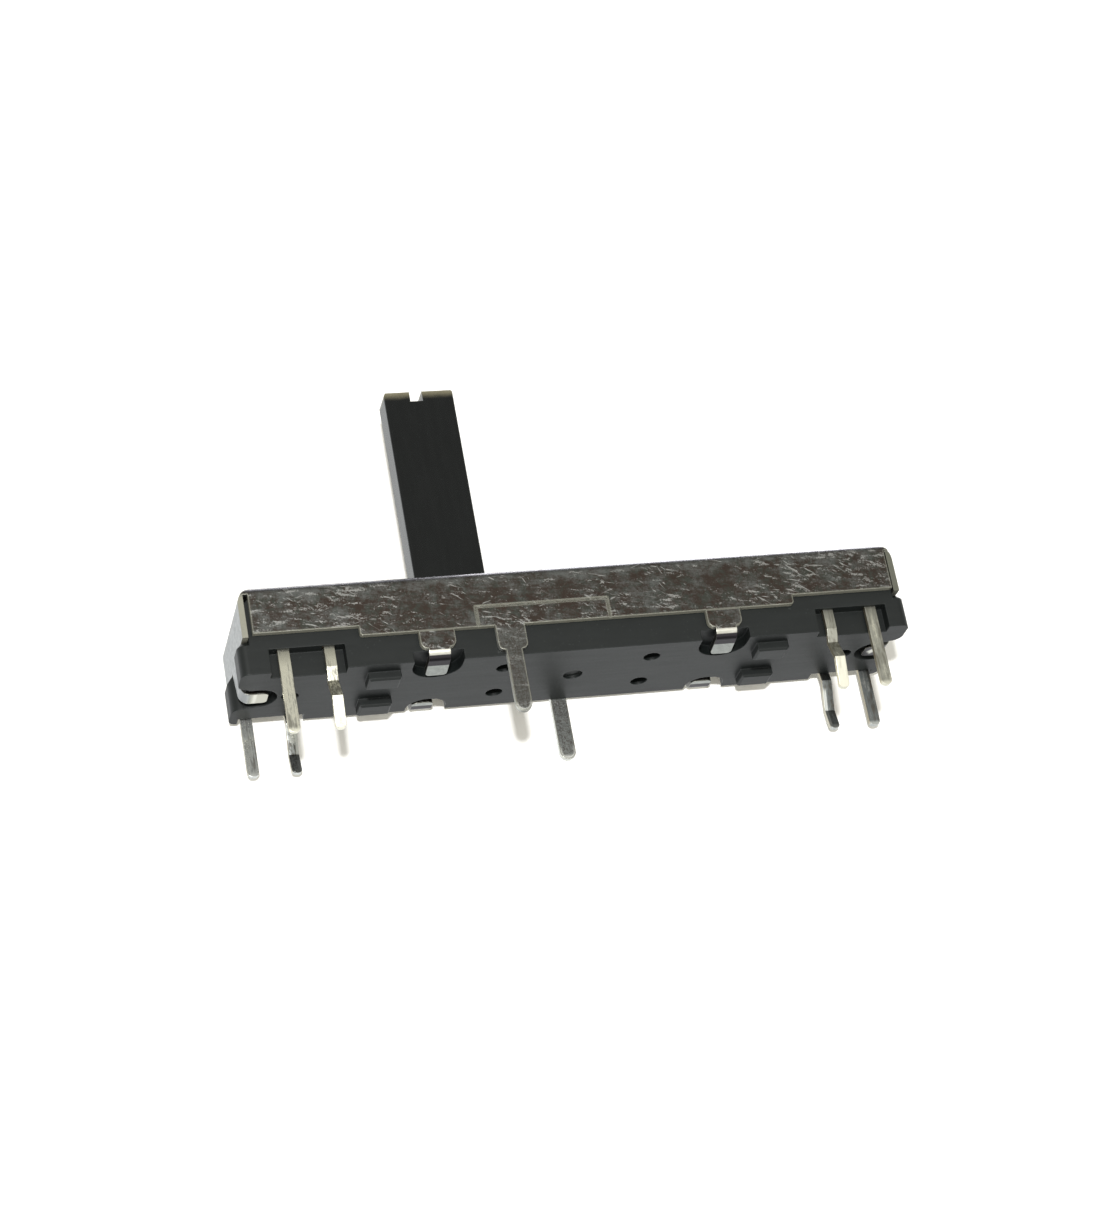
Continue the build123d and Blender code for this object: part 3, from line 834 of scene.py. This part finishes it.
class Hand:
    """The few moves that every new piece is modelled with."""

    @staticmethod
    def clear() -> None:
        """Selects nothing."""
        if bpy.context.mode != "OBJECT":
            bpy.ops.object.mode_set(mode="OBJECT")
        bpy.ops.object.select_all(action="DESELECT")

    @staticmethod
    def take(name: str) -> bpy.types.Object:
        """Names the primitive that was just added and enters edit mode on it.

        Args:
            name: The piece's name.

        Returns:
            The piece.
        """
        piece = bpy.context.active_object
        piece.name = name
        piece.data.name = name
        bpy.ops.object.mode_set(mode="EDIT")
        return piece

    @staticmethod
    def close(piece: bpy.types.Object, smooth: float = 40.0) -> bpy.types.Object:
        """Leaves edit mode and puts the piece's place into its mesh.

        Args:
            piece: The piece.
            smooth: Edges flatter than this, in degrees, are shaded smooth.

        Returns:
            The piece.
        """
        if bpy.context.mode != "OBJECT":
            bpy.ops.object.mode_set(mode="OBJECT")
        Hand.clear()
        piece.select_set(True)
        bpy.context.view_layer.objects.active = piece
        bpy.ops.object.transform_apply(location=True, rotation=True, scale=True)
        bpy.ops.object.shade_smooth_by_angle(angle=math.radians(smooth))
        Hand.clear()
        return piece

    @staticmethod
    def dress(name: str, material: bpy.types.Material) -> None:
        """Puts a finish on every material slot of a node of the frame.

        Args:
            name: The node's name.
            material: The finish.
        """
        node = bpy.data.objects[name]
        if not node.material_slots:
            node.data.materials.append(material)
        for place in node.material_slots:
            place.material = material


# ---------------------------------------------------------------- sub-assemblies


class Gang(Enum):
    """The two gangs, with the way from the middle to each."""

    FRONT = -1
    REAR = 1


@dataclass
class CoverAssembly:
    """The folded cover and the threads cut into its two screw holes.

    Sizes are in millimetres.
    """

    screw_x: float = 20.2
    sheet_top: float = 6.7
    thread_length: float = 0.86
    hole_r: float = 0.8
    thread_depth: float = 0.10
    pitch: float = 0.4
    ridge_share: float = 0.24
    start_share: float = 0.25
    rise_share: float = 0.9
    turns: int = 2
    turn_steps: int = 28
    ridge_sides: int = 6
    finish: TinPlate = TinPlate()

    def thread(self, name: str, x: float) -> bpy.types.Object:
        """Cuts one thread as a ridge that winds up the hole.

        Args:
            name: The piece's name.
            x: The hole's place along the travel.

        Returns:
            The thread.
        """
        Hand.clear()
        ridge = self.pitch * self.ridge_share
        low = self.sheet_top - self.thread_length + self.pitch * self.start_share
        bpy.ops.mesh.primitive_circle_add(
            vertices=self.ridge_sides, radius=ridge * MM, fill_type="NOTHING",
            location=(self.hole_r * MM, 0.0, 0.0), rotation=(math.radians(90.0), 0.0, 0.0),
        )
        piece = Hand.take(name)
        bpy.ops.mesh.select_all(action="SELECT")
        bpy.ops.transform.resize(value=(self.thread_depth / ridge, 1.0, 1.0))
        bpy.ops.object.mode_set(mode="OBJECT")
        bpy.ops.object.transform_apply(location=True, rotation=True, scale=True)
        wind = piece.modifiers.new("wind", "SCREW")
        wind.axis = "Z"
        wind.angle = math.tau
        wind.screw_offset = self.pitch * MM * self.rise_share
        wind.iterations = self.turns
        wind.steps = wind.render_steps = self.turn_steps
        bpy.ops.object.modifier_apply(modifier="wind")
        bpy.ops.object.mode_set(mode="EDIT")
        bpy.ops.mesh.select_all(action="SELECT")
        bpy.ops.mesh.remove_doubles(threshold=MM / 10000.0)
        bpy.ops.mesh.fill_holes(sides=self.ridge_sides)
        bpy.ops.mesh.select_all(action="SELECT")
        bpy.ops.transform.translate(value=(x * MM, 0.0, low * MM))
        bpy.ops.mesh.normals_make_consistent(inside=False)
        return Hand.close(piece)

    def build(self) -> None:
        """Dresses the cover and adds its threads."""
        plate = self.finish.material()
        Hand.dress("cover", plate)
        LOG.info("cover dressed")
        for side, x in (("left", -self.screw_x), ("right", self.screw_x)):
            name = f"screw_thread_{side}"
            piece = self.thread(name, x)
            piece.data.materials.append(plate)
            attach(piece, "body")
            LOG.info("%s cut", name)


@dataclass
class BaseAssembly:
    """The black moulded base."""

    finish: BlackMoulding = BlackMoulding(
        "black_base_moulding",
        tone=(0.0042, 0.0060, 0.0058),
        rubbed=(0.0075, 0.0098, 0.0094),
        gloss=0.36,
        grain_depth=0.008,
    )

    def build(self) -> None:
        """Dresses the base."""
        Hand.dress("base", self.finish.material())
        LOG.info("base dressed")


@dataclass
class SliderAssembly:
    """The lever with its carriage, its two wipers and its drag spring."""

    lever_finish: BlackMoulding = BlackMoulding(
        "black_lever_moulding",
        tone=(0.0016, 0.0024, 0.0026),
        rubbed=(0.0032, 0.0042, 0.0044),
        gloss=0.15,
        grain_depth=0.004,
        flow=(2.0, 2.0, 0.3),
        highlight_and_dust_z=(21.72, 22.42),
    )
    bronze: RolledStrip = RolledStrip(
        "contact_bronze_strip", tone=(0.72, 0.47, 0.25), stained=(0.50, 0.30, 0.16), gloss=0.22
    )
    steel: RolledStrip = RolledStrip(
        "spring_steel_strip", tone=(0.56, 0.56, 0.55), stained=(0.36, 0.35, 0.33), gloss=0.24
    )

    def build(self) -> None:
        """Dresses the pieces that ride on the slider."""
        Hand.dress("lever", self.lever_finish.material())
        bronze = self.bronze.material()
        for name in ("wiper_front", "wiper_rear"):
            Hand.dress(name, bronze)
        Hand.dress("guide_spring", self.steel.material())
        LOG.info("slider dressed")


@dataclass
class GangAssembly:
    """One gang: its element board, four terminals and four rivets.

    Sizes are in millimetres.
    """

    gang: Gang
    tin: bpy.types.Material
    track_raise: float = 0.03
    terminals: int = 4

    def board(self) -> None:
        """Dresses the element board, with its tracks where its solid has them."""
        name = f"element_board_{self.gang.name.lower()}"
        low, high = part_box(name)
        inner = min(abs(low[1]), abs(high[1])) / MM + self.track_raise
        paper = PhenolicPaper(f"phenolic_{self.gang.name.lower()}", self.gang.value, inner)
        Hand.dress(name, paper.material())
        LOG.info("%s dressed", name)

    def build(self) -> None:
        """Dresses the board, the terminals and the rivets."""
        self.board()
        side = self.gang.name.lower()
        for kind in ("terminal", "rivet"):
            for number in range(1, self.terminals + 1):
                Hand.dress(f"{side}_{kind}_{number}", self.tin)
        LOG.info("%s terminals and rivets dressed", side)


# ---------------------------------------------------------------- surroundings


@dataclass(frozen=True)
class Softbox:
    """A square light: the way to it from the part, its side, its watts and its reach.

    The side and the reach are in metres.
    """

    name: str
    way: Triple
    size: float
    power: float
    reach: float = 0.6


@dataclass
class Surroundings:
    """Table, floor, lights and camera, set as the photograph has them.

    table_y, floor_z and camera_at are in millimetres of the part's frame, paper_side and
    clip in metres. right, down and forward are the camera's own axes. The room's tones
    are seen in the part's reflections, and the camera sees the backdrop alone. The pairs
    behind_y to bright_y are soft steps along y or z of the direction of view.
    """

    table_y: float = 4.52
    floor_z: float = -3.9
    paper_side: float = 3.2
    lights: tuple[Softbox, ...] = (
        Softbox("key", (-0.215, -0.97, -0.158), 0.034, 3.4),
        Softbox("top", (0.35, 0.25, 0.90), 0.25, 3.0),
    )
    backdrop: Colour = (1.25, 1.25, 1.25)
    wall_behind: Colour = (1.18, 1.20, 1.20)
    room: Colour = (0.48, 0.475, 0.435)
    window: Colour = (0.98, 0.97, 0.91)
    shaded_floor: Colour = (0.10, 0.10, 0.10)
    bright_floor: Colour = (1.5, 1.5, 1.45)
    behind_y: Range = (-0.12, 0.30)
    window_z: Range = (0.28, 0.14)
    low_z: Range = (-0.70, -0.82)
    shaded_from_y: Range = (0.02, 0.18)
    shaded_to_y: Range = (0.70, 0.56)
    bright_y: Range = (0.0, -0.16)
    sensor: float = 36.0
    lens: float = 94.78
    clip: Range = (0.01, 20.0)
    camera_at: Triple = (-55.37, -191.54, -81.31)
    right: Triple = (0.9656, -0.1978, -0.1689)
    down: Triple = (-0.0694, 0.4296, -0.9003)
    forward: Triple = (0.2507, 0.8811, 0.4011)

    def camera(self) -> None:
        """Sets up the camera at the photograph's place."""
        data = bpy.data.cameras.new("photo_camera")
        data.sensor_fit, data.sensor_width, data.lens = "AUTO", self.sensor, self.lens
        data.clip_start, data.clip_end = self.clip
        camera = bpy.data.objects.new("photo_camera", data)
        bpy.context.scene.collection.objects.link(camera)
        columns = (Vector(self.right), -Vector(self.down), -Vector(self.forward))
        turn = Matrix([[column[row] for column in columns] for row in range(3)])
        place = Matrix.Translation(Vector(self.camera_at) * MM)
        camera.matrix_world = place @ turn.normalized().to_4x4()
        bpy.context.scene.camera = camera

    def sheet_of_paper(self, name: str, place: Vector, turn: Triple) -> None:
        """Lays one large sheet that only the camera sees.

        Args:
            name: The sheet's name.
            place: Its middle, in metres.
            turn: Its turn about x, y and z, in degrees.
        """
        Hand.clear()
        bpy.ops.mesh.primitive_plane_add(
            size=self.paper_side, location=place,
            rotation=tuple(math.radians(angle) for angle in turn),
        )
        sheet = Hand.close(Hand.take(name))
        sheet.data.materials.append(OneSidedWhite(f"{name}_paper").material())
        sheet.visible_diffuse = sheet.visible_glossy = False
        sheet.visible_shadow = sheet.visible_transmission = False

    def hang(self, box: Softbox) -> None:
        """Hangs one light that faces the part.

        Args:
            box: The light.
        """
        data = bpy.data.lights.new(box.name, "AREA")
        data.shape, data.size, data.energy = "SQUARE", box.size, box.power
        light = bpy.data.objects.new(box.name, data)
        bpy.context.scene.collection.objects.link(light)
        way = Vector(box.way).normalized()
        light.location = way * box.reach
        light.rotation_euler = way.to_track_quat("Z", "Y").to_euler()
        light.visible_camera = False

    def sky(self) -> None:
        """Surrounds the part with white from behind and dimmer room light in front."""
        world = bpy.data.worlds.new("studio_room")
        bpy.context.scene.world = world
        world.use_nodes = True
        graph = Graph(world.node_tree)
        way = graph.node("ShaderNodeTexCoord", out="Generated")
        _, y, z = graph.along(way)
        front = graph.blend(z.size().rise(*self.window_z), self.room, self.window)
        level = graph.blend(y.rise(*self.behind_y), front, self.wall_behind)
        low = z.rise(*self.low_z)
        shaded = low * y.rise(*self.shaded_from_y) * y.rise(*self.shaded_to_y)
        level = graph.blend(shaded, level, self.shaded_floor)
        level = graph.blend(low * y.rise(*self.bright_y), level, self.bright_floor)
        straight = graph.node("ShaderNodeLightPath", out="Is Camera Ray")
        shown = graph.blend(straight, level, self.backdrop)
        back = graph.node("ShaderNodeBackground", None, {"Color": shown, "Strength": 1.0})
        graph.node("ShaderNodeOutputWorld", None, {"Surface": back})

    def build(self) -> None:
        """Builds everything round the part."""
        scene = bpy.context.scene
        scene.view_settings.view_transform = "Standard"
        scene.view_settings.look = "None"
        self.camera()
        table, floor = self.table_y * MM, self.floor_z * MM
        self.sheet_of_paper("table_sheet", Vector((0.0, table, 0.0)), (90.0, 0.0, 0.0))
        self.sheet_of_paper("floor_sheet", Vector((0.0, 0.0, floor)), (0.0, 0.0, 0.0))
        for box in self.lights:
            self.hang(box)
        self.sky()
        LOG.info("table, floor, lights and camera set")


def main() -> None:
    """Builds the surroundings and dresses each sub-assembly in turn."""
    logging.basicConfig(level=logging.INFO, format="%(message)s")
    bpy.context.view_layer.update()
    Surroundings().build()
    CoverAssembly().build()
    BaseAssembly().build()
    SliderAssembly().build()
    front_tin = BrightTin().material()
    # The rear row gets a darker, greyer copy of the same tin: painted shade.
    shaded_rear_tin = BrightTin(
        "tinned_brass_rear", pale=(0.60, 0.615, 0.59), dull=(0.19, 0.205, 0.205), streaked=0.7
    ).material()
    GangAssembly(Gang.FRONT, front_tin).build()
    GangAssembly(Gang.REAR, shaded_rear_tin).build()


if __name__ == "__main__":
    main()
